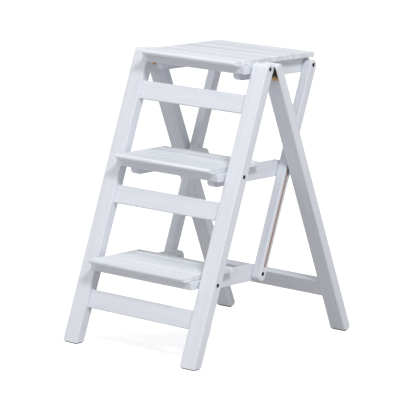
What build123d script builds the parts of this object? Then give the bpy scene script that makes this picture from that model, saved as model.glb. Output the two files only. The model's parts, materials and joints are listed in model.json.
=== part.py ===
from build123d import *
import math
import os

# Folding three-step ladder of painted wood, standing open.
# Millimetres, +X to the right, +Y to the back, +Z up; origin on the floor under the middle of the footprint.

# Overall sizes
HALF_WIDTH = 190.0          # middle plane to the outer face of a stile
FOOT_SPREAD = 532.0         # front of the stile feet to front of the rear leg feet, on the floor
STILE_LEAN = 19.3           # degrees from vertical, leaning back
LEG_LEAN = 24.1             # degrees from vertical, leaning forward
PAD_THICKNESS = 3.0
PAD_INSET = 3.0
EDGE_ROUND = 2.5            # softened arris of the larger timbers
SMALL_ROUND = 1.5
CUT_OVER = 1.0              # how far a cutter passes the faces it opens

# Stiles, their rails and dowels
STILE_WIDTH = 41.5
STILE_THICKNESS = 24.0
RAIL_THICKNESS = 11.0
RAIL_RECESS = 7.0
RAIL_HEIGHT = 41.0
RAIL_START = 86.5           # floor to the lower edge of the lowest rail, along the stile
DOWEL_RADIUS = 3.0
DOWEL_REACH = 18.0
DOWEL_EDGE = 10.0           # dowel axis to the rail edge

# Steps
STEP_COUNT = 3
MIDDLE = 1                    # place of the middle step in the row of three
FIRST_PIVOT = 190.0         # floor to the lowest pivot, along the stile
STEP_PITCH = 238.6          # pivot to pivot, along the stile
STEP_HALF_WIDTH = 135.0
SLAT_THICKNESS = 12.0
SLAT_BOTTOM = 3.5           # underside of the slats above the pivot axis
SLAT_GAP = 3.0
NOSE_REACH = 54.5           # front edge of the tread in front of the pivot axis
STEP_SLAT_DEPTH = 85.0
PLATFORM_SLAT_DEPTH = 91.0
NOSE_BEVEL_DEPTH = 10.0
NOSE_BEVEL_HEIGHT = 6.0
NOSE_ROUND = 4.5
BACK_ROUND = 6.0            # rear edge of the rearmost slat
GROOVE_WIDTH = 3.0
GROOVE_DEPTH = 1.5
BATTEN_HALF_WIDTH = 144.5
BATTEN_FRONT = -34.5
BATTEN_BACK = 10.0
BATTEN_BOTTOM = -13.0
BEARER_INNER = 101.0
BEARER_OUTER = 118.5
BEARER_FRONT = -17.0
BEARER_HALF_HEIGHT = 17.0
BEARER_FRONT_ROUND = 12.0
LOW_BEARER_TAPER = 38.0     # the lowest bearers start behind the batten and taper up to it

# Links
LINK_REACH = 213.6          # link pivots behind the step pivots
LINK_DROP = 13.5            # and below them
LINK_INNER = 119.2
LINK_OUTER = 141.7
LINK_HALF_DEPTH = 11.0
LINK_TAIL = 6.0             # centre of the round lower end below the lowest pivot
TRACK_HALF_WIDTH = 3.6
TRACK_DEPTH = 6.0
TRACK_START = 14.0          # lower end of the track above the lowest link pivot
TRACK_END = 247.0

# Rear frame
LEG_WIDTH = 42.0
LEG_THICKNESS = 22.0
LEG_TOP_DROP = 8.0          # centre of the round top below the hinge axis
HEEL_ROUND = 8.0            # rear lower edge of the foot
REAR_RAIL_START = 88.0
REAR_RAIL_HEIGHT = 40.0
REAR_RAIL_THICKNESS = 17.0
REAR_RAIL_RECESS = 2.0
GUIDE_PIN_RADIUS = 3.0
GUIDE_PIN_DEPTH = 12.0
GUIDE_PIN_CLEARANCE = 0.5

# Bolts, washers, nuts and screws
BOLT_RADIUS = 3.0
FIXED_FIT = 0.02
RUNNING_FIT = 0.06
BOLT_HEAD_RADIUS = 4.5
BOLT_HEAD_HEIGHT = 3.0
HEAD_SINK = 0.5
HEAD_SPACE = 0.3
SOCKET_RADIUS = 2.2
SOCKET_DEPTH = 1.8
STEP_BOLT_REACH = 30.0
WASHER_RADIUS = 8.0
SIDE_GAP = 0.4
NUT_RADIUS = 5.5
NUT_THICKNESS = 4.0
SCREW_RADIUS = 2.0
SCREW_HEAD_RADIUS = 3.6
SCREW_HEAD_HEIGHT = 2.4
SCREW_TOP = 11.5
SCREW_SPACE = 0.2
BEARER_SCREW_DEPTH = -16.0
FRONT_SCREW_SHIFT = 36.0    # bearer screw behind the middle of the foremost slat
SCREW_SHIFT = 14.0          # and of the others
BATTEN_SCREW_OFFSET = 62.0
BATTEN_SCREW_U = -8.0

# Butt hinges between stiles and rear legs
KNUCKLE_RADIUS = 3.0
KNUCKLE_OFFSET = 3.4        # hinge axis off either timber face
HINGE_PIN_RADIUS = 1.3
LEAF_THICKNESS = 1.5
LEAF_LENGTH = 32.0
LEAF_WIDTH = 36.0
KNUCKLE_MIDDLE = 13.0
KNUCKLE_GAP = 0.3
LEAF_SCREW_RADIUS = 1.5
LEAF_SCREW_LENGTH = 8.0       # clear of the platform's bolt
LEAF_SCREW_SPREAD = 10.0
LEAF_SCREW_ROWS = (10.0, 23.0)

SIDES = {"left": -1, "right": 1}
STEP_NAMES = ("lower_step", "middle_step", "platform")

lean = math.radians(STILE_LEAN)
leg_lean = math.radians(LEG_LEAN)
toe_setback = PAD_THICKNESS * math.tan(lean)
heel_run = HEEL_ROUND / math.tan((math.pi / 2 - leg_lean) / 2)
heel_reach = (
    LEG_THICKNESS / math.cos(leg_lean) - PAD_THICKNESS * math.tan(leg_lean) - heel_run + HEEL_ROUND)
FRONT_Y = -(toe_setback + FOOT_SPREAD + heel_reach) / 2
REAR_Y = FRONT_Y + FOOT_SPREAD
STILE_INNER = HALF_WIDTH - STILE_WIDTH
LEG_INNER = HALF_WIDTH - LEG_WIDTH
PIVOT_ACROSS = STILE_THICKNESS / 2

# Both frames have X across the ladder, Y through the timber from its front face, and Z up along the timber.
STILE_FRAME = Plane(origin=(0, FRONT_Y, 0), x_dir=(1, 0, 0), z_dir=(0, math.sin(lean), math.cos(lean)))
LEG_FRAME = Plane(origin=(0, REAR_Y, 0), x_dir=(1, 0, 0), z_dir=(0, -math.sin(leg_lean), math.cos(leg_lean)))


def on_stile(across, along):
    """Y and Z of a point of the stile frame."""
    point = STILE_FRAME.from_local_coords((0, across, along))
    return point.Y, point.Z


def on_leg(across, along):
    """Y and Z of a point of the leg frame."""
    point = LEG_FRAME.from_local_coords((0, across, along))
    return point.Y, point.Z


def crossing(first_point, first_lean, second_point, second_lean):
    """Y and Z where two lines in a side view meet; leans are from vertical, positive to the back."""
    y_gap = second_point[0] - first_point[0]
    z_gap = second_point[1] - first_point[1]
    offset = y_gap * math.cos(second_lean) - z_gap * math.sin(second_lean)
    reach = offset / math.sin(first_lean - second_lean)
    return first_point[0] + reach * math.sin(first_lean), first_point[1] + reach * math.cos(first_lean)


def step_pivot(index):
    return on_stile(PIVOT_ACROSS, FIRST_PIVOT + index * STEP_PITCH)


def link_pivot(index):
    y, z = step_pivot(index)
    return y + LINK_REACH, z - LINK_DROP


HINGE_Y, HINGE_Z = crossing(
    on_stile(STILE_THICKNESS + KNUCKLE_OFFSET, 0), lean, on_leg(-KNUCKLE_OFFSET, 0), -leg_lean)
HINGE_ALONG_STILE = STILE_FRAME.to_local_coords(Vector(0, HINGE_Y, HINGE_Z)).Z
HINGE_ALONG_LEG = LEG_FRAME.to_local_coords(Vector(0, HINGE_Y, HINGE_Z)).Z
GUIDE_Y, GUIDE_Z = crossing(link_pivot(0), lean, on_leg(LEG_THICKNESS / 2, 0), -leg_lean)
LINK_FRAME = Plane(
    origin=(0, *link_pivot(0)), x_dir=(1, 0, 0), z_dir=(0, math.sin(lean), math.cos(lean)))


def block(x_range, y_range, z_range):
    """Box between the given limits."""
    size = [high - low for low, high in (x_range, y_range, z_range)]
    centre = [(high + low) / 2 for low, high in (x_range, y_range, z_range)]
    return Pos(*centre) * Box(*size)


def rod(radius, x_from, x_to, y=0.0, z=0.0):
    """Round bar along X."""
    return Pos((x_from + x_to) / 2, y, z) * Rot(0, 90, 0) * Cylinder(radius, abs(x_to - x_from))


def upright_rod(radius, x, y, z_from, z_to):
    """Round bar along Z."""
    return Pos(x, y, (z_from + z_to) / 2) * Cylinder(radius, z_to - z_from)


def span(side, inner, outer):
    """X limits on the given side of two distances from the middle plane."""
    return tuple(sorted((side * inner, side * outer)))


def soften_sides(part, radius):
    """Round the outline edges of the two faces that look along X."""
    return fillet(part.faces().filter_by(Axis.X).edges(), radius)


def soften_long(part, radius):
    """Round the edges that run along X."""
    return fillet(part.edges().filter_by(Axis.X), radius)


def stand_on_pad(part):
    """Cut a leaning timber level with the top of its pad."""
    low, high = part.bounding_box().min, part.bounding_box().max
    below = block(
        (low.X - CUT_OVER, high.X + CUT_OVER),
        (low.Y - CUT_OVER, high.Y + CUT_OVER),
        (low.Z - CUT_OVER, PAD_THICKNESS))
    return part - below


def dowel_positions(start, height):
    """Heights of the two dowels in one end of a rail."""
    return start + DOWEL_EDGE, start + height - DOWEL_EDGE


def rail_start(index):
    return RAIL_START + index * STEP_PITCH


def front_dowels(side):
    across = RAIL_RECESS + RAIL_THICKNESS / 2
    low, high = span(side, STILE_INNER - DOWEL_REACH, STILE_INNER + DOWEL_REACH)
    return [
        STILE_FRAME * rod(DOWEL_RADIUS, low, high, across, along)
        for index in range(STEP_COUNT)
        for along in dowel_positions(rail_start(index), RAIL_HEIGHT)
    ]


def rear_dowels(side):
    across = REAR_RAIL_RECESS + REAR_RAIL_THICKNESS / 2
    low, high = span(side, LEG_INNER - DOWEL_REACH, LEG_INNER + DOWEL_REACH)
    return [
        LEG_FRAME * rod(DOWEL_RADIUS, low, high, across, along)
        for along in dowel_positions(REAR_RAIL_START, REAR_RAIL_HEIGHT)
    ]


def stile(side):
    """Leaning side board, round at the top, level at the foot, bored for the three step bolts."""
    low, high = span(side, STILE_INNER, HALF_WIDTH)
    top = FIRST_PIVOT + (STEP_COUNT - 1) * STEP_PITCH
    board = block((low, high), (0, STILE_THICKNESS), (-STILE_THICKNESS, top))
    board += rod(STILE_THICKNESS / 2, low, high, PIVOT_ACROSS, top)
    board = STILE_FRAME * soften_sides(board, EDGE_ROUND)
    board = stand_on_pad(board)
    for index in range(STEP_COUNT):
        y, z = step_pivot(index)
        board -= rod(BOLT_RADIUS + FIXED_FIT, low, high, y, z)
        head_floor = side * (HALF_WIDTH - BOLT_HEAD_HEIGHT - HEAD_SINK)
        board -= rod(BOLT_HEAD_RADIUS + HEAD_SPACE, head_floor, side * (HALF_WIDTH + CUT_OVER), y, z)
    for dowel in front_dowels(side):
        board -= dowel
    for screw in leaf_screws(side, STILE_FRAME, STILE_THICKNESS, HINGE_ALONG_STILE, -1):
        board -= screw
    return board


def front_rail(index):
    """Cross board let in between the stiles a little behind their front faces."""
    start = rail_start(index)
    board = block(
        (-STILE_INNER, STILE_INNER),
        (RAIL_RECESS, RAIL_RECESS + RAIL_THICKNESS),
        (start, start + RAIL_HEIGHT))
    board = STILE_FRAME * soften_long(board, SMALL_ROUND)
    for side in SIDES.values():
        for dowel in front_dowels(side):
            board -= dowel
    return board


def foot_pads(inner, front_y, thickness, timber_lean, back_inset):
    """Two flat pads, a little smaller than the timber ends that stand on them."""
    depth = thickness / math.cos(timber_lean)
    front = front_y + PAD_THICKNESS * math.tan(timber_lean)
    return [
        block(
            span(side, inner + PAD_INSET, HALF_WIDTH - PAD_INSET),
            (front + PAD_INSET, front + depth - back_inset),
            (0, PAD_THICKNESS))
        for side in SIDES.values()
    ]


def step_bolt(side, index):
    """Socket-head bolt through the stile into the end of the tread's front batten."""
    y, z = step_pivot(index)
    face = HALF_WIDTH - HEAD_SINK
    bolt = rod(BOLT_RADIUS, side * (BATTEN_HALF_WIDTH - STEP_BOLT_REACH), side * face, y, z)
    bolt += rod(BOLT_HEAD_RADIUS, side * (face - BOLT_HEAD_HEIGHT), side * face, y, z)
    return bolt - rod(SOCKET_RADIUS, side * (face - SOCKET_DEPTH), side * (face + CUT_OVER), y, z)


def step_washer(side, index):
    """Spacer on the bolt between the stile and the batten."""
    y, z = step_pivot(index)
    inner, outer = side * (BATTEN_HALF_WIDTH + SIDE_GAP), side * STILE_INNER
    return rod(WASHER_RADIUS, inner, outer, y, z) - rod(BOLT_RADIUS + FIXED_FIT, inner, outer, y, z)


def slat_edges(index):
    """Front and back of each slat, measured from the pivot axis."""
    depth, count = (PLATFORM_SLAT_DEPTH, 3) if STEP_NAMES[index] == "platform" else (STEP_SLAT_DEPTH, 2)
    starts = [-NOSE_REACH + number * (depth + SLAT_GAP) for number in range(count)]
    return [(start, start + depth) for start in starts]


def bearer_screw_places(index):
    shifts = (FRONT_SCREW_SHIFT, SCREW_SHIFT, SCREW_SHIFT)
    return [
        (side * (BEARER_INNER + BEARER_OUTER) / 2, (front + back) / 2 + shift)
        for shift, (front, back) in zip(shifts, slat_edges(index))
        for side in SIDES.values()
    ]


def batten_screw_places():
    return [(side * BATTEN_SCREW_OFFSET, BATTEN_SCREW_U) for side in SIDES.values()]


def tread_screws(index, space):
    """Screws from below, through the bearers and the batten into the slats, grown by the given space."""
    screws = []
    for places, head in (
        (bearer_screw_places(index), BEARER_SCREW_DEPTH), (batten_screw_places(), BATTEN_BOTTOM)):
        for x, u in places:
            screw = upright_rod(SCREW_RADIUS + space, x, u, head, SCREW_TOP + space)
            screw += upright_rod(SCREW_HEAD_RADIUS + space, x, u, head, head + SCREW_HEAD_HEIGHT + space)
            screws.append(screw)
    return screws


def place_step(index, part):
    y, z = step_pivot(index)
    return Pos(0, y, z) * part


def slat(index, number):
    """Tread board with softened edges and a groove along its middle; the foremost has a bevelled nose."""
    front, back = slat_edges(index)[number]
    top = SLAT_BOTTOM + SLAT_THICKNESS
    board = block((-STEP_HALF_WIDTH, STEP_HALF_WIDTH), (front, back), (SLAT_BOTTOM, top))
    if number == 0:
        nose = board.edges().filter_by(Axis.X).group_by(Axis.Z)[0].sort_by(Axis.Y)[0]
        under = board.faces().sort_by(Axis.Z)[0]
        board = chamfer(nose, NOSE_BEVEL_DEPTH, NOSE_BEVEL_HEIGHT, reference=under)
    is_last = back == slat_edges(index)[-1][1]
    front_round = SMALL_ROUND if number else NOSE_ROUND
    back_round = BACK_ROUND if is_last else SMALL_ROUND
    for place, radius in ((0, front_round), (-1, back_round)):
        top_edges = board.edges().filter_by(Axis.X).group_by(Axis.Z)[-1].sort_by(Axis.Y)
        board = fillet(top_edges[place], radius)
    board = soften_sides(board, SMALL_ROUND)
    middle = (front + back) / 2
    board -= block(
        (-STEP_HALF_WIDTH - CUT_OVER, STEP_HALF_WIDTH + CUT_OVER),
        (middle - GROOVE_WIDTH / 2, middle + GROOVE_WIDTH / 2),
        (top - GROOVE_DEPTH, top + CUT_OVER))
    for screw in tread_screws(index, SCREW_SPACE):
        board -= screw
    return place_step(index, board)


def batten(index):
    """Front cross piece under the nose, bored at both ends for the step bolts."""
    board = block(
        (-BATTEN_HALF_WIDTH, BATTEN_HALF_WIDTH), (BATTEN_FRONT, BATTEN_BACK), (BATTEN_BOTTOM, SLAT_BOTTOM))
    lower_edges = board.edges().filter_by(Axis.X).group_by(Axis.Z)[0]
    board = fillet(lower_edges, SMALL_ROUND)
    for side in SIDES.values():
        board -= rod(
            BOLT_RADIUS + RUNNING_FIT,
            side * (BATTEN_HALF_WIDTH - STEP_BOLT_REACH - CUT_OVER),
            side * (BATTEN_HALF_WIDTH + CUT_OVER))
    for screw in tread_screws(index, SCREW_SPACE):
        board -= screw
    return place_step(index, board)


def bearer(index, side):
    """Side bar under the slats, notched under the batten or butted behind it, round at the link bolt."""
    low, high = span(side, BEARER_INNER, BEARER_OUTER)
    wide = (low - CUT_OVER, high + CUT_OVER)
    bottom = SLAT_BOTTOM - 2 * BEARER_HALF_HEIGHT
    butted = STEP_NAMES[index] == "lower_step"
    bar = block((low, high), (BATTEN_BACK if butted else BEARER_FRONT, LINK_REACH), (bottom, SLAT_BOTTOM))
    front_edge = bar.edges().filter_by(Axis.X).group_by(Axis.Z)[0].sort_by(Axis.Y)[0]
    if butted:
        under = bar.faces().sort_by(Axis.Z)[0]
        bar = chamfer(front_edge, LOW_BEARER_TAPER, BATTEN_BOTTOM - bottom, reference=under)
    else:
        bar = fillet(front_edge, BEARER_FRONT_ROUND)
        bar -= block(wide, (BEARER_FRONT - CUT_OVER, BATTEN_BACK), (BATTEN_BOTTOM, SLAT_BOTTOM + CUT_OVER))
    bar += rod(BEARER_HALF_HEIGHT, low, high, LINK_REACH, -LINK_DROP)
    bar -= rod(BOLT_RADIUS + RUNNING_FIT, *wide, LINK_REACH, -LINK_DROP)
    for screw in tread_screws(index, SCREW_SPACE):
        bar -= screw
    for x, u in bearer_screw_places(index):
        bar -= upright_rod(SCREW_HEAD_RADIUS + SCREW_SPACE, x, u, bottom - CUT_OVER, BEARER_SCREW_DEPTH)
    return place_step(index, bar)


def link_bar(side):
    """Round-ended bar that ties the three treads together, with the guide track in its outer face."""
    low, high = span(side, LINK_INNER, LINK_OUTER)
    length = (STEP_COUNT - 1) * STEP_PITCH
    bar = block((low, high), (-LINK_HALF_DEPTH, LINK_HALF_DEPTH), (-LINK_TAIL, length))
    for along in (-LINK_TAIL, length):
        bar += rod(LINK_HALF_DEPTH, low, high, 0, along)
    bar = soften_sides(bar, EDGE_ROUND)
    floor, beyond = side * (LINK_OUTER - TRACK_DEPTH), side * (LINK_OUTER + CUT_OVER)
    track_low, track_high = TRACK_START + TRACK_HALF_WIDTH, TRACK_END - TRACK_HALF_WIDTH
    bar -= block(
        span(side, abs(floor), abs(beyond)), (-TRACK_HALF_WIDTH, TRACK_HALF_WIDTH), (track_low, track_high))
    for along in (track_low, track_high):
        bar -= rod(TRACK_HALF_WIDTH, floor, beyond, 0, along)
    for index in range(STEP_COUNT):
        along = index * STEP_PITCH
        if index == MIDDLE:
            bar -= rod(BOLT_RADIUS + FIXED_FIT, side * (LINK_INNER - CUT_OVER), floor, 0, along)
        else:
            bar -= rod(BOLT_RADIUS + FIXED_FIT, side * (LINK_INNER - CUT_OVER), beyond, 0, along)
            head_floor = side * (LINK_OUTER - BOLT_HEAD_HEIGHT - HEAD_SINK)
            bar -= rod(BOLT_HEAD_RADIUS + HEAD_SPACE, head_floor, beyond, 0, along)
    return LINK_FRAME * bar


def link_bolt(side, index):
    """Bolt with a nut inside the bearer; the middle one has its head inside and stops under the track."""
    along = index * STEP_PITCH
    inside = BEARER_INNER - SIDE_GAP
    if index == MIDDLE:
        bolt = rod(BOLT_RADIUS, side * inside, side * (LINK_OUTER - TRACK_DEPTH - CUT_OVER), 0, along)
        bolt += rod(BOLT_HEAD_RADIUS, side * (inside - BOLT_HEAD_HEIGHT), side * inside, 0, along)
        return LINK_FRAME * bolt
    face = LINK_OUTER - HEAD_SINK
    bolt = rod(BOLT_RADIUS, side * (inside - NUT_THICKNESS), side * face, 0, along)
    bolt += rod(BOLT_HEAD_RADIUS, side * (face - BOLT_HEAD_HEIGHT), side * face, 0, along)
    bolt -= rod(SOCKET_RADIUS, side * (face - SOCKET_DEPTH), side * (face + CUT_OVER), 0, along)
    hexagon = extrude(Plane.YZ * RegularPolygon(NUT_RADIUS, 6), NUT_THICKNESS)
    low = min(side * (inside - NUT_THICKNESS), side * inside)
    return LINK_FRAME * (bolt + Pos(low, 0, along) * hexagon)


def guide_pin(side):
    """Stud in the inner face of a rear leg, opposite the link's track."""
    tip = LINK_OUTER + GUIDE_PIN_CLEARANCE
    return rod(GUIDE_PIN_RADIUS, side * tip, side * (LEG_INNER + GUIDE_PIN_DEPTH), GUIDE_Y, GUIDE_Z)


def rear_leg(side):
    """Leaning rear board, round at the top beside the hinge, level at the foot with a rounded heel."""
    low, high = span(side, LEG_INNER, HALF_WIDTH)
    top = HINGE_ALONG_LEG - LEG_TOP_DROP
    board = block((low, high), (0, LEG_THICKNESS), (-LEG_THICKNESS, top))
    board += rod(LEG_THICKNESS / 2, low, high, LEG_THICKNESS / 2, top)
    board = stand_on_pad(LEG_FRAME * board)
    heel = board.edges().filter_by(Axis.X).group_by(Axis.Z)[0].sort_by(Axis.Y)[-1]
    board = soften_sides(fillet(heel, HEEL_ROUND), EDGE_ROUND)
    for dowel in rear_dowels(side):
        board -= dowel
    for screw in leaf_screws(side, LEG_FRAME, 0, HINGE_ALONG_LEG, 1):
        board -= screw
    return board - guide_pin(side)


def rear_rail():
    """Cross board low between the rear legs."""
    board = block(
        (-LEG_INNER, LEG_INNER),
        (REAR_RAIL_RECESS, REAR_RAIL_RECESS + REAR_RAIL_THICKNESS),
        (REAR_RAIL_START, REAR_RAIL_START + REAR_RAIL_HEIGHT))
    board = LEG_FRAME * soften_long(board, SMALL_ROUND)
    for side in SIDES.values():
        for dowel in rear_dowels(side):
            board -= dowel
    return board


def leaf_centre(side):
    return side * (HALF_WIDTH - STILE_WIDTH / 2)


def leaf_screws(side, frame, face, hinge_along, inward):
    """Wood screws of one hinge leaf; inward is the sense of local Y into the timber."""
    screws = []
    for row in LEAF_SCREW_ROWS:
        for shift in (-LEAF_SCREW_SPREAD, LEAF_SCREW_SPREAD):
            ends = sorted((face - inward * LEAF_THICKNESS, face + inward * LEAF_SCREW_LENGTH))
            screw = Rot(90, 0, 0) * Cylinder(LEAF_SCREW_RADIUS, ends[1] - ends[0])
            screws.append(
                frame * (Pos(leaf_centre(side) + shift, sum(ends) / 2, hinge_along - row) * screw))
    return screws


def hinge_leaf(side, frame, face, hinge_along, inward, middle):
    """Half of a butt hinge: a plate with the middle knuckle or with the two outer ones."""
    centre = leaf_centre(side)
    left, right = centre - LEAF_WIDTH / 2, centre + LEAF_WIDTH / 2
    inner_left, inner_right = centre - KNUCKLE_MIDDLE / 2, centre + KNUCKLE_MIDDLE / 2
    middle_knuckle = [(inner_left + KNUCKLE_GAP, inner_right - KNUCKLE_GAP)]
    outer_knuckles = [(left, inner_left), (inner_right, right)]
    own, other = (middle_knuckle, outer_knuckles) if middle else (outer_knuckles, middle_knuckle)
    axis = face - inward * KNUCKLE_OFFSET
    plate_range = tuple(sorted((face, face - inward * LEAF_THICKNESS)))
    leaf = block((left, right), plate_range, (hinge_along - LEAF_LENGTH, hinge_along))
    for low, high in other:
        leaf -= block(
            (low - KNUCKLE_GAP, high + KNUCKLE_GAP),
            (plate_range[0] - CUT_OVER, plate_range[1] + CUT_OVER),
            (hinge_along - KNUCKLE_RADIUS - CUT_OVER, hinge_along + CUT_OVER))
    for low, high in own:
        leaf += rod(KNUCKLE_RADIUS, low, high, axis, hinge_along)
    leaf -= rod(HINGE_PIN_RADIUS + RUNNING_FIT, left - CUT_OVER, right + CUT_OVER, axis, hinge_along)
    leaf = frame * leaf
    for screw in leaf_screws(side, frame, face, hinge_along, inward):
        leaf -= screw
    return leaf


def hinge_pin(side):
    centre = leaf_centre(side)
    return rod(HINGE_PIN_RADIUS, centre - LEAF_WIDTH / 2, centre + LEAF_WIDTH / 2, HINGE_Y, HINGE_Z)


def group(solids):
    return Compound(children=[Solid(part.solid().wrapped) for part in solids])


def build_nodes():
    nodes = {}
    both_sides = list(SIDES.values())
    for name, side in SIDES.items():
        nodes[f"stile_{name}"] = stile(side)
        nodes[f"rear_leg_{name}"] = rear_leg(side)
        nodes[f"link_bar_{name}"] = link_bar(side)
        nodes[f"link_bolts_{name}"] = group([link_bolt(side, index) for index in range(STEP_COUNT)])
        nodes[f"hinge_front_leaf_{name}"] = hinge_leaf(
            side, STILE_FRAME, STILE_THICKNESS, HINGE_ALONG_STILE, -1, False)
        nodes[f"hinge_rear_leaf_{name}"] = hinge_leaf(side, LEG_FRAME, 0, HINGE_ALONG_LEG, 1, True)
        nodes[f"hinge_pin_{name}"] = hinge_pin(side)
    for index, level in enumerate(("lower", "middle", "upper")):
        nodes[f"front_rail_{level}"] = front_rail(index)
    nodes["rear_rail"] = rear_rail()
    nodes["front_rail_dowels"] = group([part for side in both_sides for part in front_dowels(side)])
    nodes["rear_rail_dowels"] = group([part for side in both_sides for part in rear_dowels(side)])
    nodes["front_foot_pads"] = group(
        foot_pads(STILE_INNER, FRONT_Y, STILE_THICKNESS, lean, PAD_INSET))
    nodes["rear_foot_pads"] = group(
        foot_pads(LEG_INNER, REAR_Y, LEG_THICKNESS, -leg_lean, heel_run))
    nodes["step_bolts"] = group([step_bolt(side, i) for side in both_sides for i in range(STEP_COUNT)])
    nodes["step_washers"] = group([step_washer(side, i) for side in both_sides for i in range(STEP_COUNT)])
    nodes["guide_pins"] = group([guide_pin(side) for side in both_sides])
    nodes["hinge_front_screws"] = group([
        part
        for side in both_sides
        for part in leaf_screws(side, STILE_FRAME, STILE_THICKNESS, HINGE_ALONG_STILE, -1)])
    nodes["hinge_rear_screws"] = group([
        part for side in both_sides for part in leaf_screws(side, LEG_FRAME, 0, HINGE_ALONG_LEG, 1)])
    for index, step in enumerate(STEP_NAMES):
        for number in range(len(slat_edges(index))):
            nodes[f"{step}_slat_{number + 1}"] = slat(index, number)
        nodes[f"{step}_batten"] = batten(index)
        for name, side in SIDES.items():
            nodes[f"{step}_bearer_{name}"] = bearer(index, side)
        nodes[f"{step}_screws"] = group([place_step(index, screw) for screw in tread_screws(index, 0.0)])
    return nodes


os.makedirs("parts", exist_ok=True)
for node_name, shape in build_nodes().items():
    export_step(shape, f"parts/{node_name}.step")
print("hinge axis", round(HINGE_Y, 3), round(HINGE_Z, 3), "guide", round(GUIDE_Y, 3), round(GUIDE_Z, 3))
for step_index in range(STEP_COUNT):
    print("pivots", [round(value, 3) for value in (*step_pivot(step_index), *link_pivot(step_index))])
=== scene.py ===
# %% [markdown]
# # A folding three-step ladder in white painted wood
# The shapes of the timber, the treads and the hinges come ready made from the frame. This lesson adds
# what a drawing leaves out: paint over grain, worn edges, moulded feet, and bolts and screws that look
# bought. Everything is in metres, and the floor is at height zero.

import json
import math

import bpy
from mathutils import Euler, Matrix, Vector


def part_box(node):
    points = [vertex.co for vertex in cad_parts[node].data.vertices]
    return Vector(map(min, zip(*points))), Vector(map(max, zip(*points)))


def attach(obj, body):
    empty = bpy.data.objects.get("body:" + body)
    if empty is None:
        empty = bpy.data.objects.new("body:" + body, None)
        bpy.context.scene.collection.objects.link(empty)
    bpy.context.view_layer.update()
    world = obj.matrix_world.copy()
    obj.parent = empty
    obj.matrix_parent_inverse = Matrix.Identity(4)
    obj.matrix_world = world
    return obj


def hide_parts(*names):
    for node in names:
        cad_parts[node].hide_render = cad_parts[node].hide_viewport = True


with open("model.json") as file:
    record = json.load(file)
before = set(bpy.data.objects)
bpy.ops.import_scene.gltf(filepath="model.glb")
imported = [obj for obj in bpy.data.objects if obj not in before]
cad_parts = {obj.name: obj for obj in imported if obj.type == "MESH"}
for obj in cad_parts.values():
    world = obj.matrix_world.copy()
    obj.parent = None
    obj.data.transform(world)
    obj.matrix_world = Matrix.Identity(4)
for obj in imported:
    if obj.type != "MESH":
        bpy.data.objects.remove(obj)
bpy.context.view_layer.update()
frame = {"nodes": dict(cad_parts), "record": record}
record = frame["record"]
joints = {joint["name"]: joint for joint in record["behaviour"]["joints"]}
MM = 0.001
SIDES = {"left": -1, "right": 1}

# %% [markdown]
# ## Where the pivots are
# Bolts sit on the axes that the treads turn about, so the joints of the record say where each one goes.
# The link bars hang at the same distance behind every tread pivot, which makes the whole side a
# parallelogram.

# %% Pivots of the treads and of the link bars
STEP_JOINTS = ("lower_step_fold", "middle_step_fold", "platform_fold")
step_pivots = [Vector(joints[name]["pos_m"]) for name in STEP_JOINTS]
link_offset = Vector(joints["link_right_swing"]["pos_m"]) - step_pivots[-1]
link_offset.x = 0.0
link_pivots = [pivot + link_offset for pivot in step_pivots]
climb = step_pivots[-1] - step_pivots[0]
STILE_LEAN = math.atan2(climb.y, climb.z)
LEG_LEAN = -math.radians(24.1)
print("stile lean", round(math.degrees(STILE_LEAN), 2))
print("link pivots", [tuple(round(v, 4) for v in pivot) for pivot in link_pivots])

# %% [markdown]
# ## The camera
# A long lens from a few metres away keeps the uprights nearly parallel. The camera looks at a point on
# the middle plane about half way up, from the right and slightly above, and leans by a degree or so.

# %% Aim the camera
VIEW_AZIMUTH = math.radians(39.884)
VIEW_ELEVATION = math.radians(10.489)
VIEW_ROLL = math.radians(1.449)
VIEW_DISTANCE = 5.979
VIEW_TARGET = Vector((-0.0345, 0.0, 0.3049))


def aim(target, azimuth, elevation, roll, distance):
    """Matrix of a camera that looks at the target from the given side."""
    back = Vector((
        math.sin(azimuth) * math.cos(elevation),
        -math.cos(azimuth) * math.cos(elevation),
        math.sin(elevation)))
    right = (-back).cross(Vector((0, 0, 1))).normalized()
    up = right.cross(-back)
    turned_right = right * math.cos(roll) + up * math.sin(roll)
    turned_up = up * math.cos(roll) - right * math.sin(roll)
    matrix = Matrix((turned_right, turned_up, back)).transposed().to_4x4()
    matrix.translation = target + back * distance
    return matrix


bpy.ops.object.select_all(action="DESELECT")
bpy.ops.object.camera_add()
camera = bpy.context.object
camera.name = "camera"
camera.data.lens = 241.34
camera.data.sensor_width = 36.0
camera.data.dof.use_dof = False
camera.data.clip_end = 60.0
camera.matrix_world = aim(VIEW_TARGET, VIEW_AZIMUTH, VIEW_ELEVATION, VIEW_ROLL, VIEW_DISTANCE)
bpy.context.scene.camera = camera
bpy.context.scene.view_settings.view_transform = "Standard"
print("camera at", tuple(round(v, 3) for v in camera.location))

# %% [markdown]
# ## Shader maths that reads like arithmetic
# A finish is a graph of nodes, and long graphs are hard to read in code. One small class wraps a socket
# that carries a number, so a sum of fields adds the Math nodes by itself. The other class owns a material
# and has one method for every other kind of node.

# %% Fields and finishes


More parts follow.
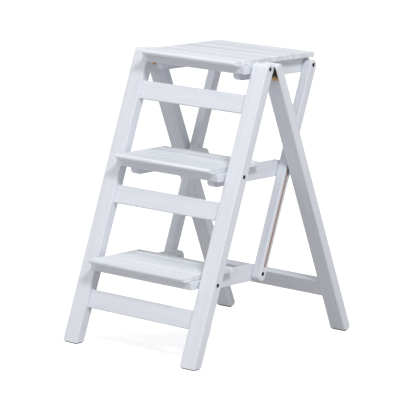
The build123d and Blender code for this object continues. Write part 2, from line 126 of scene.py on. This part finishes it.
class Field:
    """A number that changes over a surface."""

    def __init__(self, finish, socket):
        self.finish = finish
        self.socket = socket

    def maths(self, operation, left, right):
        node = self.finish.node("ShaderNodeMath", {"operation": operation}, {0: left, 1: right})
        return Field(self.finish, node.outputs[0])

    def __add__(self, other):
        return self.maths("ADD", self, other)

    def __radd__(self, other):
        return self.maths("ADD", other, self)

    def __sub__(self, other):
        return self.maths("SUBTRACT", self, other)

    def __rsub__(self, other):
        return self.maths("SUBTRACT", other, self)

    def __mul__(self, other):
        return self.maths("MULTIPLY", self, other)

    def __rmul__(self, other):
        return self.maths("MULTIPLY", other, self)

    def between(self, low, high):
        """0 below low and 1 above high, with a straight slope from one to the other."""
        node = self.finish.node("ShaderNodeMapRange", {"clamp": True}, {0: self, 1: low, 2: high})
        return Field(self.finish, node.outputs[0])


class Finish:
    """A material under construction."""

    def __init__(self, name):
        self.material = bpy.data.materials.new(name)
        self.material.use_nodes = True
        self.tree = self.material.node_tree
        self.shader = self.tree.nodes["Principled BSDF"]
        self.place = self.node("ShaderNodeTexCoord").outputs["Object"]

    def plug(self, socket, value):
        """Link a field or a socket, or type a constant into the socket."""
        if isinstance(value, Field):
            value = value.socket
        if isinstance(value, bpy.types.NodeSocket):
            self.tree.links.new(value, socket)
        else:
            socket.default_value = value

    def node(self, kind, settings=None, inputs=None):
        node = self.tree.nodes.new(kind)
        for name, value in (settings or {}).items():
            setattr(node, name, value)
        for key, value in (inputs or {}).items():
            self.plug(node.inputs[key], value)
        return node

    def noise(self, place, scale, detail=2.0, roughness=0.5, distortion=0.0):
        inputs = {
            "Vector": place, "Scale": scale, "Detail": detail,
            "Roughness": roughness, "Distortion": distortion}
        return Field(self, self.node("ShaderNodeTexNoise", None, inputs).outputs[0])

    def blend(self, amount, first, second):
        """Colour between two others."""
        node = self.node("ShaderNodeMix", {"data_type": "RGBA"}, {0: amount, 6: first, 7: second})
        return node.outputs[2]

    def size_of(self, field):
        """A field without its sign."""
        return field.maths("ABSOLUTE", field, 0.0)

    def edges(self, radius):
        """Near 1 on sharp edges and 0 on flat faces."""
        soft = self.node("ShaderNodeBevel", {"samples": 6}, {"Radius": radius}).outputs[0]
        true = self.node("ShaderNodeNewGeometry").outputs["Normal"]
        product = self.node("ShaderNodeVectorMath", {"operation": "DOT_PRODUCT"}, {0: soft, 1: true})
        return 1.0 - Field(self, product.outputs["Value"])

    def bump(self, height, distance, strength):
        inputs = {"Height": height, "Distance": distance, "Strength": strength}
        node = self.node("ShaderNodeBump", None, inputs)
        self.plug(self.shader.inputs["Normal"], node.outputs[0])

    def set(self, **values):
        """Fill the shader's sockets; Base_Color stands for Base Color."""
        for name, value in values.items():
            self.plug(self.shader.inputs[name.replace("_", " ")], value)
        return self.material


print("made the classes", Field.__name__, "and", Finish.__name__)

# %% [markdown]
# ## White paint over grain
# The timber is planed pine under two coats of satin paint. The paint levels out, but the hard and soft
# bands of the wood still show as long shallow ridges, the roller leaves a fine orange peel, and hands
# have rubbed the edges a little warmer and smoother. The ridges must run along each board, so the pattern
# is turned to the board's own lean and then stretched, and there is one material for each direction of
# grain.

# %% Paint for a given grain direction
PAINT = (0.785, 0.81, 0.865, 1)
PAINT_HOLLOW = (0.70, 0.73, 0.80, 1)
PAINT_EDGE = (0.86, 0.86, 0.85, 1)


def white_paint(name, lean, stretch, streaks=0.45, low=PAINT_HOLLOW, high=PAINT):
    """Paint whose ridges run along the axis with the small stretch; lean turns the pattern about X."""
    paint = Finish(name)
    leaning = {"Vector": paint.place, "Rotation": (lean, 0, 0)}
    turned = paint.node("ShaderNodeMapping", None, leaning).outputs[0]
    along = paint.node("ShaderNodeVectorMath", {"operation": "MULTIPLY"}, {0: turned, 1: stretch}).outputs[0]
    ridges = paint.noise(along, 1.0, 5.0, 0.62, 0.35)
    bands = paint.noise(along, 0.42, 2.0, 0.5, 0.9)
    blotches = paint.noise(turned, 13.0, 3.0, 0.55)
    peel = paint.noise(turned, 900.0, 2.0, 0.6)
    specks = paint.noise(turned, 260.0, 3.0, 0.7).between(0.45, 0.62)
    rubbed = paint.edges(1.6 * MM).between(0.03, 0.22) * specks
    hollow = ((1.0 - streaks) * ridges + streaks * bands).between(0.36, 0.64)
    body = paint.blend(hollow, low, high)
    shaded = paint.blend(0.5 * blotches.between(0.3, 0.7), body, PAINT)
    colour = paint.blend(0.55 * rubbed, shaded, PAINT_EDGE)
    paint.bump(0.75 * hollow + 0.2 * ridges + 0.07 * peel, 0.35 * MM, 0.5)
    paint.set(
        Base_Color=colour,
        Roughness=0.36 + 0.12 * blotches + 0.08 * (1.0 - hollow) - 0.08 * rubbed,
        Coat_Weight=0.18, Coat_Roughness=0.3, Specular_IOR_Level=0.45)
    return paint, colour


GRAIN_UP = (150.0, 150.0, 6.0)
GRAIN_ACROSS = (6.0, 150.0, 150.0)
GRAIN_BACK = (150.0, 6.0, 150.0)
GRAIN_BROAD = (2.6, 105.0, 105.0)
# The slat colours are lighter than the rest: the high one is painted light, for tread tops that catch more
# light than the uprights; their streaks follow the grain.
SLAT_LOW = (0.60, 0.65, 0.715, 1)
SLAT_HIGH_PAINTED_LIGHT = (0.90, 0.92, 0.945, 1)
stile_paint = white_paint("paint_on_stiles", STILE_LEAN, GRAIN_UP)[0].material
leg_paint = white_paint("paint_on_rear_legs", LEG_LEAN, GRAIN_UP)[0].material
cross_paint = white_paint("paint_on_rails", 0.0, GRAIN_ACROSS)[0].material
slat_paint_with_painted_light = white_paint("paint_with_painted_light_on_slats", 0.0, GRAIN_BROAD, 0.75, SLAT_LOW, SLAT_HIGH_PAINTED_LIGHT)[0].material
bearer_paint = white_paint("paint_on_bearers", 0.0, GRAIN_BACK)[0].material
print("paints", [paint.name for paint in (stile_paint, leg_paint, cross_paint, slat_paint_with_painted_light, bearer_paint)])

# %% [markdown]
# ## The links and their tracks
# A link bar is painted like a stile, except inside its long track. The track is cut last and the stud of
# the rear leg keeps it rubbed clean, so bare reddish wood shows there. Where a point lies across the bar,
# measured from the middle line of the track, and how deep it lies, tell the paint where to stop.

# %% Link paint with a bare track
TRACK_HALF_WIDTH = 3.75 * MM
TRACK_FLOOR = 135.4 * MM
TRACK_RIM = 141.2 * MM
BARE_WOOD = (0.50, 0.33, 0.25, 1)


def link_paint():
    paint, colour = white_paint("paint_on_links", STILE_LEAN, GRAIN_UP)
    axes = paint.node("ShaderNodeSeparateXYZ", None, {0: paint.place})
    x, y, z = (Field(paint, axes.outputs[i]) for i in range(3))
    middle = link_pivots[0]
    across = (y - middle.y) * math.cos(STILE_LEAN) - (z - middle.z) * math.sin(STILE_LEAN)
    off_line = paint.size_of(across)
    off_middle = paint.size_of(x)
    inside = (1.0 - off_line.between(TRACK_HALF_WIDTH, TRACK_HALF_WIDTH + 0.2 * MM)) * (
        off_middle.between(TRACK_FLOOR - 0.2 * MM, TRACK_FLOOR)) * (
        1.0 - off_middle.between(TRACK_RIM, TRACK_RIM + 0.3 * MM))
    return paint.set(Base_Color=paint.blend(0.8 * inside, colour, BARE_WOOD))


link_finish = link_paint()
print("made", link_finish.name)

# %% [markdown]
# ## Bare dowels
# The dowels that hold the rails are beech and were never painted. They are glued in and hidden, but they
# have their own pale brown with short dark flecks, as beech has, for anyone who opens the joint.

# %% Beech


def beech():
    wood = Finish("bare_beech_dowels")
    stretched = {0: wood.place, 1: (20, 500, 500)}
    along = wood.node("ShaderNodeVectorMath", {"operation": "MULTIPLY"}, stretched).outputs[0]
    fibre = wood.noise(along, 1.0, 4.0, 0.6)
    flecks = wood.noise(along, 2.6, 1.0, 0.4).between(0.58, 0.66)
    plain = wood.blend(fibre, (0.60, 0.42, 0.25, 1), (0.76, 0.60, 0.42, 1))
    wood.bump(fibre - 0.4 * flecks, 0.1 * MM, 0.4)
    return wood.set(
        Base_Color=wood.blend(0.6 * flecks, plain, (0.38, 0.22, 0.12, 1)), Roughness=0.55 + 0.2 * fibre)


beech_finish = beech()
print("made", beech_finish.name)

# %% [markdown]
# ## Metals
# Three metals are on the ladder: black oxide on the socket bolts, bright zinc on the wood screws and
# nuts, and brass on the hinges. The first two share one recipe: a base colour that drifts with large soft
# noise, fine machining scratches in the roughness, and a brighter rubbed edge. The brass has its own, in
# the next section.

# %% Bolt black and zinc


def metal(name, dull, bright, rubbed_colour, roughness, metallic):
    steel = Finish(name)
    drift = steel.noise(steel.place, 120.0, 3.0, 0.55)
    scratches = steel.noise(steel.place, 2600.0, 2.0, 0.6)
    specks = steel.noise(steel.place, 700.0, 2.0, 0.6).between(0.4, 0.6)
    rubbed = steel.edges(0.4 * MM).between(0.05, 0.35) * specks
    body = steel.blend(drift.between(0.3, 0.7), dull, bright)
    steel.bump(scratches + 0.6 * drift, 0.03 * MM, 0.5)
    return steel.set(
        Base_Color=steel.blend(0.7 * rubbed, body, rubbed_colour),
        Roughness=roughness + 0.16 * scratches - 0.1 * rubbed, Metallic=metallic)


bolt_black = metal(
    "black_oxide_bolts", (0.018, 0.018, 0.021, 1), (0.04, 0.04, 0.045, 1), (0.20, 0.20, 0.21, 1), 0.34, 0.85)
zinc = metal("zinc_screws", (0.50, 0.51, 0.53, 1), (0.70, 0.71, 0.72, 1), (0.85, 0.85, 0.86, 1), 0.26, 1.0)
print("metals", bolt_black.name, zinc.name)

# %% [markdown]
# ## Brass with painted shade
# The upper part of each leaf is painted nearly black: this is painted shade of the narrow wedge between
# the stile and the rear leg, and only the lower end still shows brass. A slope in height does that, broken
# up by noise so that the edge of the painted shade wanders.

# %% Brass with painted shade in the hinge gap
hinge_low, hinge_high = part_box("hinge_front_leaf_right")
LEAF_HEIGHT = hinge_high.z - hinge_low.z


def brass_with_painted_shade():
    leaf = Finish("brass_hinges")
    height = Field(leaf, leaf.node("ShaderNodeSeparateXYZ", None, {0: leaf.place}).outputs[2])
    drift = leaf.noise(leaf.place, 160.0, 3.0, 0.6)
    scratches = leaf.noise(leaf.place, 2600.0, 2.0, 0.6)
    # Painted shade: above a wandering line each leaf is painted nearly black, rougher and less metallic.
    painted_shade = (height + 0.012 * (drift - 0.5)).between(
        hinge_low.z + 0.16 * LEAF_HEIGHT, hinge_low.z + 0.36 * LEAF_HEIGHT)
    clean = leaf.blend(drift, (0.42, 0.25, 0.09, 1), (0.66, 0.44, 0.20, 1))
    leaf.bump(scratches + 0.8 * painted_shade * drift, 0.04 * MM, 0.5)
    return leaf.set(
        Base_Color=leaf.blend(0.94 * painted_shade, clean, (0.018, 0.014, 0.011, 1)),
        Roughness=0.3 + 0.35 * painted_shade + 0.1 * scratches, Metallic=1.0 - 0.8 * painted_shade)


brass = brass_with_painted_shade()
print("made", brass.name)

# %% [markdown]
# ## Nylon and rubber
# The spacers between stiles and treads are turned nylon, faintly translucent and waxy. The feet stand on
# thin dark rubber, which picks up dust on its raised parts.

# %% Spacers and feet


def nylon():
    plastic = Finish("white_nylon_spacers")
    swirl = plastic.noise(plastic.place, 260.0, 3.0, 0.5)
    fine = plastic.noise(plastic.place, 2200.0, 2.0, 0.5)
    plastic.bump(swirl + 0.3 * fine, 0.04 * MM, 0.5)
    return plastic.set(
        Base_Color=plastic.blend(swirl, (0.74, 0.75, 0.77, 1), (0.84, 0.84, 0.85, 1)),
        Roughness=0.38 + 0.14 * fine)


def rubber():
    pad = Finish("dark_rubber_feet")
    dust = pad.noise(pad.place, 140.0, 4.0, 0.65).between(0.42, 0.72)
    pebble = pad.noise(pad.place, 1500.0, 2.0, 0.6)
    pad.bump(pebble, 0.12 * MM, 0.6)
    return pad.set(
        Base_Color=pad.blend(0.5 * dust, (0.022, 0.022, 0.024, 1), (0.11, 0.105, 0.10, 1)),
        Roughness=0.7 + 0.2 * dust)


nylon_finish = nylon()
rubber_finish = rubber()
print("made", nylon_finish.name, rubber_finish.name)

# %% [markdown]
# ## Dress the timber
# The timbers, hinges and dowels already have their true shape, so they keep it and only get their finish.
# The name of a piece says which way its grain runs.

# %% Give every carried-over piece its finish


def finish_for(node_name):
    """Finish of a piece, chosen by what it is and which way it runs."""
    plain = {"bare_beech": beech_finish, "dark_steel": bolt_black, "zinc_steel": zinc, "brass": brass,
             "white_nylon": nylon_finish, "dark_rubber": rubber_finish}
    slot_name = slots[node_name]
    if slot_name in plain:
        return plain[slot_name]
    if node_name.startswith("link_bar"):
        return link_finish
    if node_name.startswith("stile"):
        return stile_paint
    if "slat" in node_name:
        return slat_paint_with_painted_light
    if node_name.startswith("rear_leg"):
        return leg_paint
    return bearer_paint if "bearer" in node_name else cross_paint


slots = {part["node"]: part["material_slot"] for part in record["subparts"]}
for node_name, piece in frame["nodes"].items():
    for material_slot in piece.material_slots:
        material_slot.material = finish_for(node_name)
print("dressed", len(slots), "pieces")

# %% [markdown]
# ## Helpers for modelling by operator
# Operators act on the selection, so every step begins by choosing it. Faces are picked by the side they
# look to, and a finished piece has its place written into its mesh, so that its object stays at the
# origin.

# %% Selecting and finishing
CLOSE = 0.1 * MM
TOUCHING = 0.01 * MM
LOOKING = 0.9
FLAT = 0.99
SMOOTH_BELOW = math.radians(32)


def begin(name):
    """Name the new primitive and open it for editing with nothing selected."""
    piece = bpy.context.object
    piece.name = name
    bpy.ops.object.mode_set(mode="EDIT")
    bpy.ops.mesh.select_all(action="DESELECT")
    return piece


def pick_faces(piece, chosen):
    """Select just the faces that the test accepts; it gets a face's centre and normal."""
    bpy.ops.mesh.select_all(action="DESELECT")
    bpy.ops.mesh.select_mode(type="FACE")
    bpy.ops.object.mode_set(mode="OBJECT")
    for face in piece.data.polygons:
        face.select = chosen(face.center, face.normal)
    bpy.ops.object.mode_set(mode="EDIT")


def pick_edges(piece, chosen):
    """Select just the edges whose two ends the test accepts."""
    bpy.ops.mesh.select_mode(type="EDGE")
    bpy.ops.mesh.select_all(action="DESELECT")
    bpy.ops.object.mode_set(mode="OBJECT")
    points = piece.data.vertices
    for edge in piece.data.edges:
        edge.select = all(chosen(points[i].co) for i in edge.vertices)
    bpy.ops.object.mode_set(mode="EDIT")


def pick_open_edges():
    """Select just the edges that have one face or none, which are the rims still to be closed."""
    bpy.ops.mesh.select_all(action="DESELECT")
    bpy.ops.mesh.select_mode(type="EDGE")
    bpy.ops.mesh.select_non_manifold(
        use_wire=True, use_boundary=True, use_multi_face=False, use_non_contiguous=False, use_verts=False)


def settle(piece, bridged=True):
    """Merge doubles, shade by angle and write the place into the mesh; bridged faces are turned outwards."""
    bpy.ops.mesh.select_all(action="SELECT")
    bpy.ops.mesh.remove_doubles(threshold=TOUCHING)
    if bridged:
        bpy.ops.mesh.normals_make_consistent(inside=False)
    bpy.ops.object.mode_set(mode="OBJECT")
    bpy.ops.object.select_all(action="DESELECT")
    piece.select_set(True)
    bpy.context.view_layer.objects.active = piece
    bpy.ops.object.transform_apply(location=True, rotation=True, scale=True)
    bpy.ops.object.shade_smooth_by_angle(angle=SMOOTH_BELOW)
    return piece


def copy_to(pattern, name, matrix):
    """Copy with its own mesh, moved by the matrix in its mesh."""
    copy = pattern.copy()
    copy.data = pattern.data.copy()
    copy.name = name
    bpy.context.collection.objects.link(copy)
    copy.data.transform(matrix)
    return copy


def join_as(name, pieces):
    """One object out of several."""
    bpy.ops.object.select_all(action="DESELECT")
    for piece in pieces:
        piece.select_set(True)
    bpy.context.view_layer.objects.active = pieces[0]
    bpy.ops.object.join()
    pieces[0].name = name
    return pieces[0]


def coat(piece, finish):
    """Give a piece one finish all over."""
    piece.data.materials.clear()
    piece.data.materials.append(finish)


def hand_over(piece, body, node_name):
    """The finished piece stands for the plain one of the frame."""
    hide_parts(node_name)
    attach(piece, body)
    print(piece.name, "faces", len(piece.data.polygons))


print("helpers ready")

# %% [markdown]
# ## Socket bolts
# Each bolt is a black button head with a six-sided socket, on a plain shank that disappears into the
# wood. The head starts as a short cylinder. Its outer rim is bevelled into a dome, its face is opened,
# and the round opening is bridged to a hexagon, which is pushed in to make the socket. The shank is drawn
# out of the back. One bolt is modelled, pointing right at the origin, and copied to every pivot.

# %% A button head bolt along X, with the crown of its head at the origin
HEAD_RADIUS = 4.5 * MM
HEAD_HEIGHT = 3.0 * MM
SHANK_RADIUS = 3.0 * MM
SOCKET_RADIUS = 2.3 * MM
SOCKET_DEPTH = 1.8 * MM
AROUND = 36
TURN_TO_X = Euler((0, math.pi / 2, 0)).to_matrix().to_4x4()
STEP_BOLT_LENGTH = 75.0 * MM
RIM_ROUNDING = 1.44 * MM
TIP_ROUNDING = 0.5 * MM


def socket_bolt(name, length):
    """Bolt along Z first, as cylinders stand, then turned to point along X."""
    bpy.ops.mesh.primitive_cylinder_add(
        vertices=AROUND, radius=HEAD_RADIUS, depth=HEAD_HEIGHT, location=(0, 0, -HEAD_HEIGHT / 2))
    bolt = begin(name)
    bpy.ops.object.mode_set(mode="OBJECT")
    bpy.ops.object.transform_apply(location=True, rotation=True, scale=True)
    bpy.ops.object.mode_set(mode="EDIT")
    pick_edges(bolt, lambda point: point.z > -CLOSE)
    bpy.ops.mesh.bevel(offset=RIM_ROUNDING, segments=5, profile=0.5, affect="EDGES")
    pick_faces(bolt, lambda centre, normal: normal.z < -LOOKING)
    bpy.ops.mesh.inset(thickness=HEAD_RADIUS - SHANK_RADIUS)
    bpy.ops.mesh.extrude_region_move(TRANSFORM_OT_translate={"value": (0, 0, HEAD_HEIGHT - length)})
    pick_edges(bolt, lambda point: point.z < CLOSE - length)
    bpy.ops.mesh.bevel(offset=TIP_ROUNDING, segments=2, affect="EDGES")
    pick_faces(bolt, lambda centre, normal: normal.z > FLAT and centre.z > -CLOSE)
    bpy.ops.mesh.delete(type="FACE")
    bpy.ops.mesh.select_all(action="DESELECT")
    bpy.ops.mesh.primitive_circle_add(vertices=6, radius=SOCKET_RADIUS, location=(0, 0, 0))
    pick_open_edges()
    bpy.ops.mesh.bridge_edge_loops()
    pick_open_edges()
    bpy.ops.mesh.extrude_region_move(TRANSFORM_OT_translate={"value": (0, 0, -SOCKET_DEPTH)})
    bpy.ops.mesh.edge_face_add()
    settle(bolt)
    bolt.data.transform(TURN_TO_X)
    return bolt


FLIP = {1: Matrix.Identity(4), -1: Matrix.Rotation(math.pi, 4, "Z")}
bolt_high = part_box("step_bolts")[1]
bolt_pattern = socket_bolt("bolt_pattern", STEP_BOLT_LENGTH)
coat(bolt_pattern, bolt_black)
step_bolts = [
    copy_to(
        bolt_pattern, "step_bolt", Matrix.Translation((side * bolt_high.x, pivot.y, pivot.z)) @ FLIP[side])
    for side in SIDES.values()
    for pivot in step_pivots
]
bpy.data.objects.remove(bolt_pattern)
hand_over(join_as("socket_bolts_in_stiles", step_bolts), "front_frame", "step_bolts")

# %% [markdown]
# ## Link bolts and their nuts
# The links hang on shorter bolts of the same kind. Top and bottom have their heads outside and a six-
# sided nut of bright zinc behind the bearer, and the middle one is turned round, because the track runs
# over its end.

# %% Nuts, and bolts through links and bearers
NUT_HEIGHT = 4.0 * MM
NUT_RADIUS = 5.4 * MM
NUT_FACE_MARGIN = 0.7 * MM
NUT_ROUNDING = 0.35 * MM
# How much shorter than the node each bolt is, and how far outside its inner end the turned one's crown sits.
THROUGH_SHORTER = 0.1 * MM
TURNED_SHORTER = 7.6 * MM
TURNED_CROWN_SETBACK = 1.0 * MM


def hex_nut(name):
    """Nut along X, with its left face at the origin."""
    bpy.ops.mesh.primitive_cylinder_add(
        vertices=6, radius=NUT_RADIUS, depth=NUT_HEIGHT, location=(0, 0, NUT_HEIGHT / 2))
    nut = begin(name)
    pick_faces(nut, lambda centre, normal: abs(normal.z) > LOOKING)
    bpy.ops.mesh.inset(thickness=NUT_FACE_MARGIN)
    bpy.ops.mesh.select_all(action="SELECT")
    bpy.ops.mesh.bevel(offset=NUT_ROUNDING, segments=2, affect="EDGES")
    settle(nut)
    nut.data.transform(TURN_TO_X)
    return nut


for side_name, side in SIDES.items():
    node_name = f"link_bolts_{side_name}"
    node_low, node_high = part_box(node_name)
    inner = min(abs(node_low.x), abs(node_high.x))
    outer = max(abs(node_low.x), abs(node_high.x))
    through = socket_bolt("through_bolt", outer - inner - THROUGH_SHORTER)
    turned_round = socket_bolt("turned_bolt", outer - inner - TURNED_SHORTER)
    nut = hex_nut("bolt_nut")
    coat(through, bolt_black)
    coat(turned_round, bolt_black)
    coat(nut, zinc)
    bolts = []
    for place, pivot in zip(("lower", "middle", "upper"), link_pivots):
        if place == "middle":
            seat_x = side * (inner + TURNED_CROWN_SETBACK)
            crown = Matrix.Translation((seat_x, pivot.y, pivot.z)) @ FLIP[-side]
            bolts.append(copy_to(turned_round, f"link_bolt_{place}", crown))
            continue
        crown = Matrix.Translation((side * outer, pivot.y, pivot.z)) @ FLIP[side]
        bolts.append(copy_to(through, f"link_bolt_{place}", crown))
        seat = Matrix.Translation((side * inner, pivot.y, pivot.z)) @ FLIP[side]
        bolts.append(copy_to(nut, f"link_nut_{place}", seat))
    for pattern in (through, turned_round, nut):
        bpy.data.objects.remove(pattern)
    hand_over(join_as(f"socket_bolts_in_link_{side_name}", bolts), f"link_{side_name}", node_name)

# %% [markdown]
# ## Nylon spacers
# A thick washer keeps each tread off the stile, so that paint doesn't rub on paint. It is a disc with a
# hole: both faces are inset, the two inner discs are deleted, and their rims are bridged to make the
# bore. The outer rims are then rounded.

# %% One spacer, copied to all six bolts
SPACER_RADIUS = 8.0 * MM
SPACER_ROUNDING = 0.6 * MM
BORE_CLEARANCE = 0.02 * MM
spacer_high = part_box("step_washers")[1]
SPACER_THICKNESS = 3.6 * MM


def spacer(name):
    """Disc with a bore, along X, with its middle at the origin."""
    bpy.ops.mesh.primitive_cylinder_add(
        vertices=48, radius=SPACER_RADIUS, depth=SPACER_THICKNESS, location=(0, 0, 0))
    disc = begin(name)
    pick_faces(disc, lambda centre, normal: abs(normal.z) > LOOKING)
    bpy.ops.mesh.inset(thickness=SPACER_RADIUS - SHANK_RADIUS - BORE_CLEARANCE)
    bpy.ops.mesh.bridge_edge_loops()
    pick_edges(disc, lambda point: point.xy.length > SPACER_RADIUS - CLOSE)
    bpy.ops.mesh.bevel(offset=SPACER_ROUNDING, segments=3, affect="EDGES")
    settle(disc)
    disc.data.transform(TURN_TO_X)
    return disc


spacer_pattern = spacer("spacer_pattern")
coat(spacer_pattern, nylon_finish)
spacer_middle = spacer_high.x - SPACER_THICKNESS / 2
spacers = [
    copy_to(spacer_pattern, "spacer", Matrix.Translation((side * spacer_middle, pivot.y, pivot.z)))
    for side in SIDES.values()
    for pivot in step_pivots
]
bpy.data.objects.remove(spacer_pattern)
hand_over(join_as("nylon_spacers", spacers), "front_frame", "step_washers")

# %% [markdown]
# ## Moulded feet
# A foot pad is a thin rubber plate with all its edges rounded and with grooves across its sole. The plate is a
# box cut into strips, and every other strip of its underside is pressed in. The strips run across the ladder,
# because that is the way it would slide.

# %% Pads under stiles and rear legs
GROOVE_DEPTH = 0.9 * MM
GROOVE_MARGIN = 0.25 * MM
PAD_ROUNDING = 1.6 * MM
# Each end's pads start this far from the middle plane, just outside the inner face of the timber above.
PAD_INNER = {"front": 151.5 * MM, "rear": 151.0 * MM}


def foot_pad(name, low, high, strips):
    """Plate between two corners, with every other strip of its sole pressed in."""
    size = high - low
    bpy.ops.mesh.primitive_cube_add(size=1.0, location=(low + high) / 2, scale=size)
    pad = begin(name)
    bpy.ops.object.mode_set(mode="OBJECT")
    bpy.ops.object.transform_apply(location=True, rotation=True, scale=True)
    bpy.ops.object.mode_set(mode="EDIT")
    bpy.ops.mesh.select_mode(type="EDGE")
    bpy.ops.mesh.select_all(action="SELECT")
    bpy.ops.mesh.bevel(offset=PAD_ROUNDING, segments=4, affect="EDGES")
    for number in range(1, strips):
        bpy.ops.mesh.select_all(action="SELECT")
        across = low.y + size.y * number / strips
        bpy.ops.mesh.bisect(plane_co=(0, across, 0), plane_no=(0, 1, 0))
    strip = size.y / strips
    pick_faces(
        pad, lambda centre, normal: normal.z < -LOOKING and int((centre.y - low.y) / strip) % 2 == 1)
    bpy.ops.mesh.inset(thickness=GROOVE_MARGIN, use_individual=True)
    bpy.ops.mesh.extrude_region_move(TRANSFORM_OT_translate={"value": (0, 0, GROOVE_DEPTH)})
    return settle(pad, bridged=False)


for end, body, strips in (("front", "front_frame", 7), ("rear", "rear_frame", 5)):
    node_name = f"{end}_foot_pads"
    node_low, node_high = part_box(node_name)
    width = node_high.x - PAD_INNER[end]
    pads = []
    for side in SIDES.values():
        low, high = node_low.copy(), node_high.copy()
        if side > 0:
            low.x = high.x - width
        else:
            high.x = low.x + width
        pads.append(foot_pad(f"{end}_pad", low, high, strips))
    feet = join_as(f"moulded_{end}_feet", pads)
    coat(feet, rubber_finish)
    hand_over(feet, body, node_name)

# %% [markdown]
# ## Floor and light
# The ladder stands in a bright white studio. The floor runs far past the picture, so its end is never
# seen. A real studio paper is lit so that it burns out to white while little of its light comes back up,
# and one plain material can't do both. So the floor is two papers in one: the camera sees a bright one,
# and the light that bounces meets a greyer one, which keeps the undersides of the treads in shade. The
# sky is split the same way.

# %% Floor
PAPER_SEEN = (0.93, 0.93, 0.935, 1)
PAPER_SHADE = (0.90, 0.90, 0.905, 1)
PAPER_FELT = (0.54, 0.53, 0.52, 1)
PAPER_LIFT = 0.55

bpy.ops.object.select_all(action="DESELECT")
bpy.ops.mesh.primitive_plane_add(size=60.0, location=(0, 0, 0))
floor = bpy.context.object
floor.name = "studio_floor"
paper = Finish("studio_floor_paper")
paper_tone = paper.noise(paper.place, 2.0, 2.0, 0.5)
paper.set(
    Base_Color=paper.blend(paper_tone, PAPER_SHADE, PAPER_SEEN), Roughness=0.9, Specular_IOR_Level=0.1,
    Emission_Color=(1, 1, 1, 1), Emission_Strength=PAPER_LIFT)
felt = paper.node("ShaderNodeBsdfDiffuse", None, {"Color": PAPER_FELT})
camera_ray = paper.node("ShaderNodeLightPath").outputs["Is Camera Ray"]
two_papers = {0: camera_ray, 1: felt.outputs[0], 2: paper.shader.outputs[0]}
either = paper.node("ShaderNodeMixShader", None, two_papers)
paper.plug(paper.tree.nodes["Material Output"].inputs["Surface"], either.outputs[0])
floor.data.materials.append(paper.material)
print("floor", tuple(floor.dimensions))

# %% [markdown]
# ## Lamps
# A broad soft lamp hangs above the left of the front. A second one, smaller, stronger and lower, stands
# to the right and brightens the side faces, so that front and side differ by only a little. The sky fills
# the rest.

# %% Lamps and sky
SKY_FELT = 0.55
LAMP_AIM = Vector((0, 0, 0.35))


def soft_lamp(name, place, size, power):
    """Square lamp that faces the middle of the ladder."""
    bpy.ops.object.light_add(type="AREA", location=place)
    lamp = bpy.context.object
    lamp.name = name
    lamp.data.size = size
    lamp.data.energy = power
    lamp.rotation_euler = (LAMP_AIM - Vector(place)).to_track_quat("-Z", "Y").to_euler()
    return lamp


soft_lamp("key_lamp", (-1.3, -2.2, 4.0), 1.2, 42.0)
soft_lamp("right_lamp", (2.55, -1.6, 3.3), 0.7, 84.0)
sky = bpy.data.worlds.new("studio_sky")
sky.use_nodes = True
sky_tree = sky.node_tree
sky_seen = sky_tree.nodes["Background"]
sky_felt = sky_tree.nodes.new("ShaderNodeBackground")
for background, strength in ((sky_seen, 1.0), (sky_felt, SKY_FELT)):
    background.inputs["Color"].default_value = (1.0, 1.0, 1.0, 1)
    background.inputs["Strength"].default_value = strength
two_skies = sky_tree.nodes.new("ShaderNodeMixShader")
seen_by_camera = sky_tree.nodes.new("ShaderNodeLightPath").outputs["Is Camera Ray"]
sky_tree.links.new(seen_by_camera, two_skies.inputs["Fac"])
sky_tree.links.new(sky_felt.outputs["Background"], two_skies.inputs[1])
sky_tree.links.new(sky_seen.outputs["Background"], two_skies.inputs[2])
sky_tree.links.new(two_skies.outputs["Shader"], sky_tree.nodes["World Output"].inputs["Surface"])
bpy.context.scene.world = sky
print("sky", sky.name)
